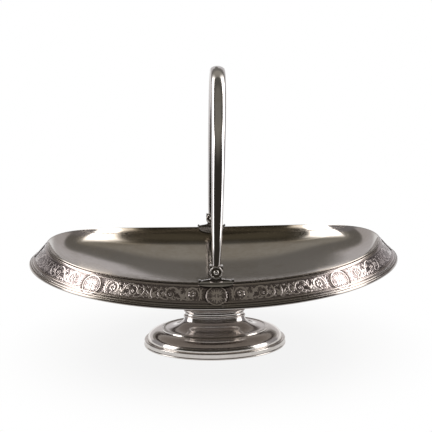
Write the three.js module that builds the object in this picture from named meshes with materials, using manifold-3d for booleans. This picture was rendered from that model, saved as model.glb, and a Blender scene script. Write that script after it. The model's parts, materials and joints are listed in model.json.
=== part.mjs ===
import * as THREE from 'three';
import * as BufferGeometryUtils from 'three/addons/utils/BufferGeometryUtils.js';
import Module from 'manifold-3d';

const wasm = await Module();
wasm.setup();

// Swing-handled oval basket on a pedestal foot. Millimetres, +Z up, long side along X.
// The origin is on the table under the middle of the foot.

// Gaps between pieces that are soldered or seated on each other
const seatGap = 0.3;
// Running clearance all round each hinge pin and beside each hinge ear
const hingeClearance = 0.3;

// Crest: the sharp oval fold between the dish and its border
const crestHalfLength = 135;
const crestHalfWidth = 102.6;
const crestHeight = 79;
const crestEndRise = 11.6;
// How much fuller than an ellipse the oval is towards its corners
const ovalFullness = 0.06;

// Dish
const dishFloorHeight = 54;
const dishSheet = 1.2;
const dishCurvePower = 2.2;
const lipHeight = 8;
const lipReach = 4.7;

// Border: flat engraved strip that turns down and out from the crest
const borderRun = 15;
const borderDrop = 16;
const borderSheet = 1.2;
const lipCover = 1.1;

// Reeded wire along the border's lower edge
const edgeWireWidth = 3.6;
const edgeWireThickness = 2.2;
const edgeWireStep = 0.5;

// Pedestal foot
const footHalfLength = 59.3;
const footHalfWidth = 46.2;
const footSheet = 1.4;
const baseWireHeight = 5.2;
const baseWireWidth = 3;
const baseWireLip = 0.6;
const stepInset = 15;
const stepHeight = 14.2;
const stepShoulder = 0.7;
const stepBeadWidth = 1.4;
const stepBeadHeight = 0.5;
const flareStart = 2;
const flareHollow = 1;
const flareTurn = THREE.MathUtils.degToRad(70);
const neckInset = 34;
const neckRingHeight = 24.5;
const neckRingPitch = 4.6;
const neckRingDepth = 0.9;
const neckRingHalf = 0.8;
const upperRingHalf = 0.6;
const neckTopSpread = 7;
const neckTopHollow = 0.4;

// Collar between the foot and the dish
const collarHeight = 2.6;
const collarWidth = 4.2;

// Handle: hollow bow, an oval section that tapers to both ends
const handleRise = 140;
const handleEndWidth = 6;
const handleMidWidth = 12;
const swellPower = 0.8;
const handleEndDepth = 6;
const handleMidDepth = 6.6;
const handleWall = 1;
const bowFullness = 2.06;
// How far the raised handle rests towards +X from upright
const handleLean = THREE.MathUtils.degToRad(2.1);

// Hinge: a fork of two round cheeks over one ear, with a rivet through all three
const pinHeightAboveCrest = 7.7;
const cheekRadius = 4.75;
const cheekThickness = 1.6;
const shoulderHeight = 4.6;
const recessRadius = 3.8;
const recessDepth = 0.5;
const earThickness = 2.2;
const earRadius = 3.6;
const pinRadius = 1.3;
const pinHeadRadius = 1.95;
const pinHeadHeight = 1.1;
const tenonLength = 9;

// Saddle bracket astride the crest
const saddleHalfLength = 11.3;
const saddleSheet = 1;
const outerLap = 1.8;
const innerLap = 3.4;
const wingLapShare = 0.35;
const shoulderLapShare = 0.7;
const tipCurlRadius = 0.9;
const tipCurlHalf = 1.3;

// Fineness of the facets
const ovalSteps = 64;
const footSteps = 40;
const bowSteps = 36;
const tubeSides = 10;
const roundSides = 20;
const bulgeSteps = 4;
const flareSteps = 3;
const neckSteps = 3;
const headSteps = 3;
// Points closer than this are one point, and slopes are taken over this step
const mergeDistance = 1e-4;
const slopeStep = 1e-3;

const silver = (color, roughness) => new THREE.MeshStandardMaterial({ color, roughness, metalness: 1 });

// A closed body from rings of equal point counts. Poles close the first and last ring with a point each,
// and without poles the last ring joins the first one.
function loftRings(rings, poles) {
  const sides = rings[0].length;
  const points = rings.flat();
  const index = [];
  const last = poles ? rings.length - 1 : rings.length;
  for (let r = 0; r < last; r++) {
    const here = r * sides;
    const next = ((r + 1) % rings.length) * sides;
    for (let s = 0; s < sides; s++) {
      const t = (s + 1) % sides;
      index.push(here + s, here + t, next + t, here + s, next + t, next + s);
    }
  }
  if (poles) {
    points.push(poles[0], poles[1]);
    const first = (rings.length - 1) * sides;
    for (let s = 0; s < sides; s++) {
      const t = (s + 1) % sides;
      index.push(points.length - 2, t, s, points.length - 1, first + s, first + t);
    }
  }
  const geometry = new THREE.BufferGeometry().setFromPoints(points);
  geometry.setIndex(index);
  geometry.computeVertexNormals();
  return geometry;
}

function toManifold(geometry) {
  const bare = geometry.clone();
  for (const name of Object.keys(bare.attributes)) {
    if (name !== 'position') bare.deleteAttribute(name);
  }
  const merged = BufferGeometryUtils.mergeVertices(bare, mergeDistance);
  return new wasm.Manifold(new wasm.Mesh({
    numProp: 3,
    vertProperties: new Float32Array(merged.attributes.position.array),
    triVerts: new Uint32Array(merged.index.array),
  }));
}

function fromManifold(solid) {
  const mesh = solid.getMesh();
  const geometry = new THREE.BufferGeometry();
  geometry.setAttribute('position', new THREE.BufferAttribute(mesh.vertProperties, 3));
  geometry.setIndex(new THREE.BufferAttribute(mesh.triVerts, 1));
  geometry.computeVertexNormals();
  return geometry;
}

const angleOf = (step, steps) => (2 * Math.PI * step) / steps;

// Even turns from nothing up to a last one, a quarter turn where none is given
function turnsUpTo(steps, last = Math.PI / 2) {
  return Array.from({ length: steps + 1 }, (_, i) => (last * i) / steps);
}

// The crest at an angle: its point, its outward direction in plan and its distance from the middle
function crestAt(angle) {
  const c = Math.cos(angle);
  const s = Math.sin(angle);
  const x = crestHalfLength * c * (1 + ovalFullness * s * s);
  const y = crestHalfWidth * s * (1 + ovalFullness * c * c);
  const dx = -crestHalfLength * s * (1 + ovalFullness * (s * s - 2 * c * c));
  const dy = crestHalfWidth * c * (1 + ovalFullness * (c * c - 2 * s * s));
  const length = Math.hypot(dx, dy);
  const out = new THREE.Vector2(dy / length, -dx / length);
  return { x, y, z: crestHeight + crestEndRise * c * c, out, reach: x * out.x + y * out.y };
}

// A point at a plan distance outside the crest and a height above it
function besideCrest(angle, offset, height) {
  const crest = crestAt(angle);
  const x = crest.x + crest.out.x * offset;
  const y = crest.y + crest.out.y * offset;
  return new THREE.Vector3(x, y, crest.z + height);
}

// The inside of the dish, at a share of the way from its middle to the crest
function dishPoint(angle, share) {
  const crest = crestAt(angle);
  const wall = (crest.z - lipHeight - dishFloorHeight) * share ** dishCurvePower;
  const lip = lipHeight * Math.exp((-(1 - share) * crest.reach) / lipReach);
  return new THREE.Vector3(crest.x * share, crest.y * share, dishFloorHeight + wall + lip);
}

// A point a distance off the inside of the dish, square to it
function offDish(angle, share, distance) {
  const along = dishPoint(angle + slopeStep, share).sub(dishPoint(angle - slopeStep, share));
  const outward = dishPoint(angle, share + slopeStep).sub(dishPoint(angle, share - slopeStep));
  const normal = outward.cross(along).normalize();
  return dishPoint(angle, share).addScaledVector(normal, distance);
}

const dishUnderPoint = (angle, share) => offDish(angle, share, -dishSheet);

// Shares of the way out, close together at the lip where the dish bends most
const dishShares = [0.12, 0.3, 0.48, 0.64, 0.78, 0.88, 0.94, 0.97, 0.986, 1];

function bowlDish() {
  const angles = Array.from({ length: ovalSteps }, (_, i) => angleOf(i, ovalSteps));
  const ring = (place, share) => angles.map((angle) => place(angle, share));
  const under = dishShares.map((share) => ring(dishUnderPoint, share));
  const inside = dishShares.map((share) => ring(dishPoint, share)).reverse();
  const rings = [...under, ...inside];
  const poles = [
    new THREE.Vector3(0, 0, dishFloorHeight - dishSheet),
    new THREE.Vector3(0, 0, dishFloorHeight),
  ];
  return loftRings(rings, poles);
}

// The border's slope, and points on it given along its face and out of its face
const borderSlope = new THREE.Vector2(borderRun, -borderDrop).normalize();
const borderFaceOut = new THREE.Vector2(-borderSlope.y, borderSlope.x);
const borderLength = Math.hypot(borderRun, borderDrop);
function onBorder(along, out) {
  return new THREE.Vector2().addScaledVector(borderSlope, along).addScaledVector(borderFaceOut, out);
}

// A closed ring round the crest from one section, given as offsets and heights beside the crest
function borderRing(section) {
  const rings = [];
  for (let i = ovalSteps; i > 0; i--) {
    rings.push(section.map((p) => besideCrest(angleOf(i, ovalSteps), p.x, p.y)));
  }
  return loftRings(rings);
}

// The strip starts past the lip that covers its top edge and ends above the edge wire
const stripStart = lipCover + dishSheet;
const stripEnd = borderLength - edgeWireWidth - seatGap;
function rimBorder() {
  return borderRing([
    onBorder(stripStart, -borderSheet),
    onBorder(stripEnd, -borderSheet),
    onBorder(stripEnd, 0),
    onBorder(stripStart, 0),
  ]);
}

// Two stepped reeds and a flat back, level with the strip's back
function borderEdgeWire() {
  const top = stripEnd + seatGap;
  const middle = top + edgeWireWidth / 2;
  const face = edgeWireThickness - borderSheet;
  return borderRing([
    onBorder(top, -borderSheet),
    onBorder(borderLength, -borderSheet),
    onBorder(borderLength, face - edgeWireStep),
    onBorder(middle + edgeWireStep, face),
    onBorder(middle, face - edgeWireStep),
    onBorder(middle - edgeWireStep, face),
    onBorder(top, face - edgeWireStep),
  ]);
}

// An oval ring of the foot, set in from the edge of the base
function footRing(inset, height) {
  return Array.from({ length: footSteps }, (_, i) => {
    const angle = angleOf(i, footSteps);
    const x = (footHalfLength - inset) * Math.cos(angle);
    const y = (footHalfWidth - inset) * Math.sin(angle);
    return new THREE.Vector3(x, y, typeof height === 'function' ? height(x, y) : height);
  });
}

// A closed ring of the foot from a section that goes up its inside and down its outside
function footLoop(section) {
  return loftRings(section.map(([inset, height]) => footRing(inset, height)).reverse());
}

// Height of the dish's underside above a place near its middle
function dishUnderside(x, y) {
  const angle = Math.atan2(y / crestHalfWidth, x / crestHalfLength);
  const crest = crestAt(angle);
  const share = Math.hypot(x, y) / Math.hypot(crest.x, crest.y);
  return dishUnderPoint(angle, share).z;
}

const collarOuterInset = neckInset - neckTopSpread;
const collarTopInset = collarOuterInset + collarWidth;
const collarBottom = dishFloorHeight - dishSheet - seatGap - collarHeight;
function footCollar() {
  const seat = (x, y) => dishUnderside(x, y) - seatGap;
  return footLoop([
    [collarTopInset, collarBottom],
    [collarTopInset, seat],
    [collarOuterInset, seat],
    [collarOuterInset + seatGap, collarBottom],
  ]);
}

// Outside of the foot from the base wire up to the collar
function footOutline() {
  const floor = baseWireHeight + seatGap;
  const top = collarBottom - seatGap;
  const bulgeWidth = stepInset - baseWireWidth;
  const bulgeHeight = stepHeight - floor - stepShoulder;
  const outline = turnsUpTo(bulgeSteps).map((turn) => [
    stepInset - bulgeWidth * Math.cos(turn),
    floor + bulgeHeight * Math.sin(turn),
  ]);
  // Bead on the step
  const beadTop = stepHeight + stepBeadHeight;
  outline.push([stepInset + stepBeadHeight, beadTop], [stepInset + stepBeadWidth, beadTop]);
  // Flare, hollow like a trumpet
  const flareInset = stepInset + flareStart;
  const flareWidth = neckInset - flareInset;
  const flareHeight = neckRingHeight - stepHeight - flareHollow;
  for (const turn of turnsUpTo(flareSteps, flareTurn)) {
    const rise = flareHeight * (1 - Math.cos(turn));
    outline.push([flareInset + flareWidth * Math.sin(turn), stepHeight + rise]);
  }
  // Two rings round the neck, with a cove between them
  const neck = neckInset + neckRingDepth;
  const upperRing = neckRingHeight + neckRingPitch;
  outline.push([neckInset, neckRingHeight - neckRingHalf], [neckInset, neckRingHeight + neckRingHalf]);
  outline.push([neck, neckRingHeight + neckRingHalf + neckRingDepth]);
  outline.push([neck, upperRing - upperRingHalf - neckRingDepth]);
  outline.push([neckInset, upperRing - upperRingHalf], [neckInset, upperRing + upperRingHalf]);
  // Spreading top
  const spreadInset = neck + neckTopHollow;
  const spreadStart = upperRing + upperRingHalf + neckRingDepth + neckTopHollow;
  const spread = spreadInset - collarOuterInset;
  for (const turn of turnsUpTo(neckSteps)) {
    const rise = (top - spreadStart) * Math.sin(turn);
    outline.push([spreadInset - spread * (1 - Math.cos(turn)), spreadStart + rise]);
  }
  return outline;
}

function footBody() {
  const outside = footOutline();
  const inside = outside.map(([inset, height], i) => {
    const [a, b] = outside[Math.max(i - 1, 0)];
    const [c, d] = outside[Math.min(i + 1, outside.length - 1)];
    const run = new THREE.Vector2(c - a, d - b).normalize();
    return [inset + run.y * footSheet, height - run.x * footSheet];
  });
  const first = inside[0];
  first[1] = outside[0][1];
  inside[inside.length - 1][1] = outside[outside.length - 1][1];
  return footLoop([...inside, ...outside.reverse()]);
}

function footBaseWire() {
  return footLoop([
    [baseWireWidth + footSheet, 0],
    [baseWireWidth + footSheet, baseWireHeight],
    [baseWireLip * 2, baseWireHeight],
    [0, baseWireHeight - baseWireLip],
    [0, baseWireLip],
    [baseWireLip, 0],
  ]);
}

// Hinge pins stand above the crest at the middle of each long side
const pinHeight = crestHeight + pinHeightAboveCrest;
const pinReach = crestHalfWidth;

// The bow's centre line: a slightly full half ellipse above the pins, from the front pin to the back one.
// The handle's pieces are drawn about the pins' height.
const bowFoot = shoulderHeight + seatGap;
class BowCurve extends THREE.Curve {
  getPoint(share, target = new THREE.Vector3()) {
    const angle = Math.PI * share;
    const power = 2 / bowFullness;
    const c = Math.cos(angle);
    const across = -pinReach * Math.sign(c) * Math.abs(c) ** power;
    const rise = (handleRise - bowFoot) * Math.sin(angle) ** power;
    return target.set(0, across, bowFoot + rise);
  }
}

// Sections square to the bow, swollen towards its middle
function bowSections(shrink) {
  const curve = new BowCurve();
  const rings = [];
  for (let i = 0; i <= bowSteps; i++) {
    const share = i / bowSteps;
    const centre = curve.getPointAt(share);
    const run = i === 0 || i === bowSteps
      ? new THREE.Vector3(0, 0, i === 0 ? 1 : -1)
      : curve.getTangentAt(share);
    const deep = new THREE.Vector3(0, run.z, -run.y);
    const swell = Math.sin(Math.PI * share) ** swellPower;
    const width = THREE.MathUtils.lerp(handleEndWidth, handleMidWidth, swell) / 2 - shrink;
    const depth = THREE.MathUtils.lerp(handleEndDepth, handleMidDepth, swell) / 2 - shrink;
    const ring = [];
    for (let k = 0; k < tubeSides; k++) {
      const angle = angleOf(k + 0.5, tubeSides);
      ring.push(centre.clone()
        .addScaledVector(new THREE.Vector3(1, 0, 0), width * Math.cos(angle))
        .addScaledVector(deep, depth * Math.sin(angle)));
    }
    rings.push(ring);
  }
  return rings;
}

function handleTube() {
  return loftRings([...bowSections(0), ...bowSections(handleWall).reverse()]);
}

// A plate with a round end below and a square shoulder above, as an outline across X and Z
function cheekShape(radius, top) {
  const shape = new THREE.Shape();
  shape.absarc(0, 0, radius, 0, -Math.PI, true);
  shape.lineTo(-radius, top);
  shape.lineTo(radius, top);
  shape.closePath();
  return shape;
}

// Extrudes an X-Z outline along Y, from one Y to another
function plateAlongY(shape, from, to, segments) {
  const geometry = new THREE.ExtrudeGeometry(shape, {
    depth: to - from,
    bevelEnabled: false,
    curveSegments: segments,
  });
  geometry.rotateX(Math.PI / 2);
  geometry.translate(0, to, 0);
  return geometry;
}

function roundBarAlongY(radius, from, to) {
  const bar = new THREE.CylinderGeometry(radius, radius, to - from, roundSides);
  bar.translate(0, (from + to) / 2, 0);
  return bar;
}

// Half of the fork's thickness along the pin
const slotHalf = earThickness / 2 + hingeClearance;
const forkHalf = slotHalf + cheekThickness;

// The fork, about the pin's middle: block, slot for the ear, recessed faces, bore and a tenon for the tube
function handleTerminal() {
  const outline = cheekShape(cheekRadius, shoulderHeight);
  const block = toManifold(plateAlongY(outline, -forkHalf, forkHalf, roundSides / 2));
  const slotTop = earRadius + hingeClearance;
  const slotBottom = -2 * cheekRadius;
  const slot = new THREE.BoxGeometry(4 * cheekRadius, 2 * slotHalf, slotTop - slotBottom);
  slot.translate(0, 0, (slotTop + slotBottom) / 2);
  const bore = toManifold(roundBarAlongY(pinRadius + hingeClearance, -2 * forkHalf, 2 * forkHalf));
  let fork = block.subtract(toManifold(slot)).subtract(bore);
  for (const side of [-1, 1]) {
    const inner = side * (forkHalf - recessDepth);
    const outer = side * 2 * forkHalf;
    const recess = roundBarAlongY(recessRadius, Math.min(inner, outer), Math.max(inner, outer));
    fork = fork.subtract(toManifold(recess));
  }
  // The tenon's square section fits inside the round bore of the tube
  const room = handleWall + seatGap;
  const tenonWidth = (handleEndWidth - 2 * room) * Math.SQRT1_2;
  const tenonDepth = (handleEndDepth - 2 * room) * Math.SQRT1_2;
  const tenon = new THREE.BoxGeometry(tenonWidth, tenonDepth, tenonLength);
  tenon.translate(0, 0, shoulderHeight + tenonLength / 2 - seatGap);
  return fork.add(toManifold(tenon));
}

function hingePin() {
  const half = forkHalf - recessDepth + hingeClearance;
  const head = turnsUpTo(headSteps).map((turn) => new THREE.Vector2(
    pinHeadRadius * Math.sin(turn),
    half + pinHeadHeight * Math.cos(turn),
  ));
  const upper = [new THREE.Vector2(pinRadius, half), ...head.reverse()];
  const lower = upper.map((point) => new THREE.Vector2(point.x, -point.y)).reverse();
  return new THREE.LatheGeometry([...lower, ...upper], roundSides);
}

// Saddle of the bracket: one section over the crest, drawn along it and narrowed towards both tips
function saddleRing(angle, lapShare) {
  const gap = seatGap;
  const outer = outerLap * lapShare;
  const inner = innerLap * lapShare;
  const onLip = (inward, out) => offDish(angle, 1 - inward / crestAt(angle).reach, out);
  const onTop = (out) => besideCrest(angle, 0, out);
  const overLip = (out) => {
    const crest = crestAt(angle);
    const corner = dishUnderPoint(angle, 1);
    return corner.add(new THREE.Vector3(crest.out.x * out, crest.out.y * out, out));
  };
  const onFace = (along, out) => {
    const place = onBorder(along, out);
    return besideCrest(angle, place.x, place.y);
  };
  return [
    onLip(inner, gap),
    onLip(inner / 2, gap),
    onLip(0, gap),
    onTop(gap),
    overLip(gap),
    onFace(stripStart, gap),
    onFace(stripStart + outer, gap),
    onFace(stripStart + outer, gap + saddleSheet / 2),
    onFace(stripStart, gap + saddleSheet),
    overLip(gap + saddleSheet / 2),
    onTop(gap + saddleSheet),
    onLip(0, gap + saddleSheet),
    onLip(inner / 2, gap + saddleSheet),
    onLip(inner, gap + saddleSheet / 2),
  ];
}

// The front bracket: saddle, rolled tips and the ear, in the basket's own place
function hingeLug() {
  const middle = -Math.PI / 2;
  const halfAngle = saddleHalfLength / crestHalfLength;
  const wing = [wingLapShare, wingLapShare, shoulderLapShare, 1];
  const shares = [...wing, 1, ...[...wing].reverse()];
  const rings = shares.map((lap, i) => {
    const place = 1 - (2 * i) / (shares.length - 1);
    return saddleRing(middle + place * halfAngle, lap);
  });
  const sumOf = (ring) => ring.reduce((sum, p) => sum.add(p), new THREE.Vector3());
  const centre = (ring) => sumOf(ring).divideScalar(ring.length);
  let saddle = toManifold(loftRings(rings, [centre(rings[0]), centre(rings[rings.length - 1])]));
  for (const side of [-1, 1]) {
    const tip = besideCrest(middle + side * halfAngle, lipCover / 2, seatGap + tipCurlRadius);
    const curl = roundBarAlongY(tipCurlRadius, tip.y - tipCurlHalf, tip.y + tipCurlHalf);
    curl.translate(tip.x, 0, tip.z);
    saddle = saddle.add(toManifold(curl));
  }
  const crest = besideCrest(middle, 0, 0);
  const stem = cheekShape(earRadius, 0);
  const ear = plateAlongY(stem, -earThickness / 2, earThickness / 2, roundSides / 2);
  ear.translate(0, -pinReach, pinHeight);
  const rootDepth = pinHeight - crest.z - seatGap - saddleSheet / 2;
  const root = new THREE.BoxGeometry(2 * earRadius, earThickness, rootDepth);
  root.translate(0, -pinReach, pinHeight - rootDepth / 2);
  const bore = roundBarAlongY(pinRadius + hingeClearance, -earThickness, earThickness);
  bore.translate(0, -pinReach, pinHeight);
  return saddle.add(toManifold(ear)).add(toManifold(root)).subtract(toManifold(bore));
}

const basket = new THREE.Group();
const addPiece = (name, geometry, color, roughness) => {
  const mesh = new THREE.Mesh(geometry, silver(color, roughness));
  mesh.name = name;
  basket.add(mesh);
  return mesh;
};

addPiece('bowl_dish', bowlDish(), 0x8f8a82, 0.16);
addPiece('rim_border', rimBorder(), 0x6f6963, 0.32);
addPiece('border_edge_wire', borderEdgeWire(), 0x5a5550, 0.24);
addPiece('foot_collar', footCollar(), 0x86817a, 0.2);
addPiece('foot_body', footBody(), 0x8b867e, 0.16);
addPiece('foot_base_wire', footBaseWire(), 0xa09b94, 0.2);
const tube = addPiece('handle_tube', handleTube(), 0x77726b, 0.16);
tube.position.set(0, 0, pinHeight);
tube.rotation.y = handleLean;

// The back half of each hinge is the front one turned half round
for (const [place, turn] of [['front', 0], ['back', Math.PI]]) {
  const across = turn ? pinReach : -pinReach;
  const terminal = addPiece(`handle_terminal_${place}`, fromManifold(handleTerminal()), 0x837e77, 0.22);
  terminal.position.set(0, across, pinHeight);
  terminal.rotation.set(0, handleLean, turn);
  const pin = addPiece(`hinge_pin_${place}`, hingePin(), 0xb4b0a8, 0.15);
  pin.position.set(0, across, pinHeight);
  const lug = addPiece(`hinge_lug_${place}`, fromManifold(hingeLug()), 0x7d7871, 0.22);
  lug.rotation.z = turn;
}

export default basket;
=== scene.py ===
import json
import bpy
from math import atan2, cos, exp, hypot, pi, radians, sin
from mathutils import Matrix, Vector


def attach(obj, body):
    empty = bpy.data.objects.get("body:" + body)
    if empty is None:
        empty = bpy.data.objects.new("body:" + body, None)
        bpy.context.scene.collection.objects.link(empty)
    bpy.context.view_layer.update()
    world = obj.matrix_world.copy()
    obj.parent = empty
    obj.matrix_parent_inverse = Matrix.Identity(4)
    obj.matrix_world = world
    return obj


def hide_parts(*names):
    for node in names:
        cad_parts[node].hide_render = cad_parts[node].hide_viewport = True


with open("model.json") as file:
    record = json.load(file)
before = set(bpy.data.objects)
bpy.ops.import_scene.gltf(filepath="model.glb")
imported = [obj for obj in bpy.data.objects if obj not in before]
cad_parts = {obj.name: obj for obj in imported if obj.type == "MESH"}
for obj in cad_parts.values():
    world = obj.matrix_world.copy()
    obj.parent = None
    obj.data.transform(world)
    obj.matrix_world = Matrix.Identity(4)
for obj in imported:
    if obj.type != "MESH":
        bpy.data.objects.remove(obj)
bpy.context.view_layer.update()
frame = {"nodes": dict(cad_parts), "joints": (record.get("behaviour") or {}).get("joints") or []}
print("frame loaded with", len(frame["nodes"]), "nodes")

mm = 0.001

# the oval crest that everything else is set out from
crest = {
    "halfLength": 135 * mm,
    "halfWidth": 102.6 * mm,
    "height": 79 * mm,
    "endRise": 11.6 * mm,
    "fullness": 0.06,
}
pinHeight = frame["joints"][0]["pos_m"][2]
pinReach = crest["halfWidth"]


def crestAt(angle):
    # point on the crest, then its outward direction in plan
    c, s, k = cos(angle), sin(angle), crest["fullness"]
    x = crest["halfLength"] * c * (1 + k * s * s)
    y = crest["halfWidth"] * s * (1 + k * c * c)
    dx = -crest["halfLength"] * s * (1 + k * (s * s - 2 * c * c))
    dy = crest["halfWidth"] * c * (1 + k * (c * c - 2 * s * s))
    length = hypot(dx, dy)
    return x, y, crest["height"] + crest["endRise"] * c * c, dy / length, -dx / length


def besideCrest(angle, offset, height):
    x, y, z, outX, outY = crestAt(angle)
    return Vector((x + outX * offset, y + outY * offset, z + height))


# ways of working

def deselectAll():
    if bpy.context.object and bpy.context.object.mode != "OBJECT":
        bpy.ops.object.mode_set(mode="OBJECT")
    bpy.ops.object.select_all(action="DESELECT")


def takeUp(piece):
    deselectAll()
    piece.select_set(True)
    bpy.context.view_layer.objects.active = piece


def editAll(piece):
    takeUp(piece)
    bpy.ops.object.mode_set(mode="EDIT")
    bpy.ops.mesh.select_all(action="SELECT")


def leaveEditing():
    bpy.ops.object.mode_set(mode="OBJECT")


def addObject(name, data):
    thing = bpy.data.objects.new(name, data)
    bpy.context.scene.collection.objects.link(thing)
    return thing


def copyOf(piece, name):
    # with a mesh of its own
    twin = piece.copy()
    twin.data = piece.data.copy()
    twin.name = name
    bpy.context.scene.collection.objects.link(twin)
    return twin


def drawSection(name, points):
    # one vertex, then an edge to each next point, in the X-Z plane
    deselectAll()
    bpy.ops.mesh.primitive_plane_add(size=mm)
    piece = bpy.context.object
    piece.name = name
    bpy.ops.object.mode_set(mode="EDIT")
    bpy.ops.mesh.merge(type="CENTER")
    bpy.ops.transform.translate(value=(points[0][0], 0, points[0][1]))
    for (x, z), (lastX, lastZ) in zip(points[1:], points):
        bpy.ops.mesh.extrude_region_move(TRANSFORM_OT_translate={"value": (x - lastX, 0, z - lastZ)})
    leaveEditing()
    return piece


def spinSection(piece, steps, axis=(0, 0, 1), turn=2 * pi, weld=0.01 * mm):
    editAll(piece)
    bpy.ops.mesh.spin(steps=steps, angle=turn, center=(0, 0, 0), axis=axis)
    bpy.ops.mesh.select_all(action="SELECT")
    bpy.ops.mesh.remove_doubles(threshold=weld)
    leaveEditing()


def fitToOval(piece, place, note=None):
    # a vertex of the spun ring goes to the same angle of the oval; note keeps its place in the section
    spots = [(atan2(v.co.y, v.co.x), hypot(v.co.x, v.co.y), v.co.z) for v in piece.data.vertices]
    if note:
        kept = piece.data.attributes.new(note, "FLOAT_VECTOR", "POINT")
        kept.data.foreach_set("vector", [value for angle, a, b in spots for value in (a / mm, b / mm, 0)])
    for vertex, (angle, a, b) in zip(piece.data.vertices, spots):
        vertex.co = place(angle, a, b)


def faceOutwards(piece, middle=None):
    # an open skin has no outside of its own, so it faces away from its middle
    editAll(piece)
    bpy.ops.mesh.normals_make_consistent(inside=False)
    leaveEditing()
    if middle:
        faces = piece.data.polygons
        if sum(face.area * face.normal.dot(face.center - Vector(middle)) for face in faces) < 0:
            piece.data.flip_normals()


def selectFaces(piece, wanted):
    editAll(piece)
    bpy.ops.mesh.select_mode(type="FACE")
    bpy.ops.mesh.select_all(action="DESELECT")
    leaveEditing()
    for face in piece.data.polygons:
        face.select = wanted(face)
    bpy.ops.object.mode_set(mode="EDIT")


def applyModifier(piece, kind, settings):
    takeUp(piece)
    modifier = piece.modifiers.new(kind.title(), kind)
    for key, value in settings.items():
        setattr(modifier, key, value)
    bpy.ops.object.modifier_apply(modifier=modifier.name)


def joinShape(piece, tool, operation):
    applyModifier(piece, "BOOLEAN", {"object": tool, "operation": operation, "solver": "EXACT"})
    bpy.data.objects.remove(tool)


def roundEdges(piece, width, segments, angle):
    applyModifier(piece, "BEVEL", {"width": width, "segments": segments, "limit_method": "ANGLE",
                                   "angle_limit": radians(angle)})


def smoothOver(piece, angle=32):
    takeUp(piece)
    bpy.ops.object.shade_smooth_by_angle(angle=radians(angle))


def addCylinder(radius, depth, place, sides=64, turned=True):
    deselectAll()
    bpy.ops.mesh.primitive_cylinder_add(vertices=sides, radius=radius, depth=depth, location=place,
                                        rotation=(pi / 2 if turned else 0, 0, 0))
    bpy.ops.object.transform_apply(location=True, rotation=True, scale=True)
    return bpy.context.object


def addBox(size, place):
    deselectAll()
    bpy.ops.mesh.primitive_cube_add(size=1, location=place, scale=size)
    bpy.ops.object.transform_apply(location=True, rotation=True, scale=True)
    return bpy.context.object


def turnedCopy(piece, name):
    # the same piece at the back, turned half round
    twin = copyOf(piece, name)
    twin.data.transform(Matrix.Rotation(pi, 4, "Z"))
    return twin


def arc(centre, radii, first, last, steps):
    # points round part of an ellipse, angles in degrees
    turns = [radians(first + (last - first) * i / steps) for i in range(steps + 1)]
    return [(centre[0] + radii[0] * cos(t), centre[1] + radii[1] * sin(t)) for t in turns]


def inMm(points):
    return [(a * mm, b * mm) for a, b in points]


# shader maths

class Wire:
    def __init__(self, sheet, socket):
        self.sheet = sheet
        self.socket = socket

    def math(self, operation, first, second=0.0):
        return self.sheet.add("ShaderNodeMath", {"operation": operation}, {0: first, 1: second})

    def __add__(self, other):
        return self.math("ADD", self, other)

    def __sub__(self, other):
        return self.math("SUBTRACT", self, other)

    def __rsub__(self, other):
        return self.math("SUBTRACT", other, self)

    def __mul__(self, other):
        return self.math("MULTIPLY", self, other)

    def __truediv__(self, other):
        return self.math("DIVIDE", self, other)

    def __pow__(self, other):
        return self.math("POWER", self, other)

    __radd__ = __add__
    __rmul__ = __mul__

    def atMost(self, other):
        return self.math("MINIMUM", self, other)

    def atLeast(self, other):
        return self.math("MAXIMUM", self, other)


class ShaderSheet:
    def __init__(self, owner):
        owner.use_nodes = True
        self.tree = owner.node_tree
        self.tree.nodes.clear()

    def add(self, kind, settings=None, sockets=None, out=0):
        node = self.tree.nodes.new(kind)
        for key, value in (settings or {}).items():
            setattr(node, key, value)
        for key, value in (sockets or {}).items():
            if isinstance(value, Wire):
                self.tree.links.new(value.socket, node.inputs[key])
            else:
                node.inputs[key].default_value = value
        return Wire(self, node.outputs[out]) if node.outputs else None

    def onPiece(self):
        return self.add("ShaderNodeTexCoord", out=3)  # Object coordinates

    def inSection(self):
        return self.add("ShaderNodeAttribute", {"attribute_name": "section"}, out=1)

    def part(self, place, axis):
        return self.add("ShaderNodeSeparateXYZ", {}, {0: place}, out=axis)

    def noise(self, place, scale, detail=2.0, roughness=0.5):
        return self.add("ShaderNodeTexNoise", {}, {"Vector": place, "Scale": scale, "Detail": detail,
                                                   "Roughness": roughness})

    def band(self, value, low, high):
        # 0 below low, 1 above high, soft between
        return self.add("ShaderNodeMapRange", {"interpolation_type": "SMOOTHSTEP"},
                        {"Value": value, "From Min": low, "From Max": high})

    def mixColour(self, share, first, second):
        first, second = [(*c, 1) if isinstance(c, tuple) else c for c in (first, second)]
        return self.add("ShaderNodeMix", {"data_type": "RGBA"}, {0: share, 6: first, 7: second}, out=2)


silverLook = {
    "clean": (0.66, 0.64, 0.645),
    "tarnish": (0.43, 0.375, 0.31),
    "roughness": 0.085,
    "patchScale": 16,
    "patchShare": 0.45,
    "patchEdge": (0.38, 0.68),
    "patchRoughness": 0.1,
    "speckScale": 14,  # for the scale of the patches
    "speckShare": 0.25,
    "speckRoughness": 0.05,
    "scratchScale": 2600,
    "scratchTurn": 0.35,
    "scratchStretch": 0.12,
    "scratchHeight": 0.0009 * mm,
    "waveScale": 22,
    "waveHeight": 0.10 * mm,
}


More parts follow.
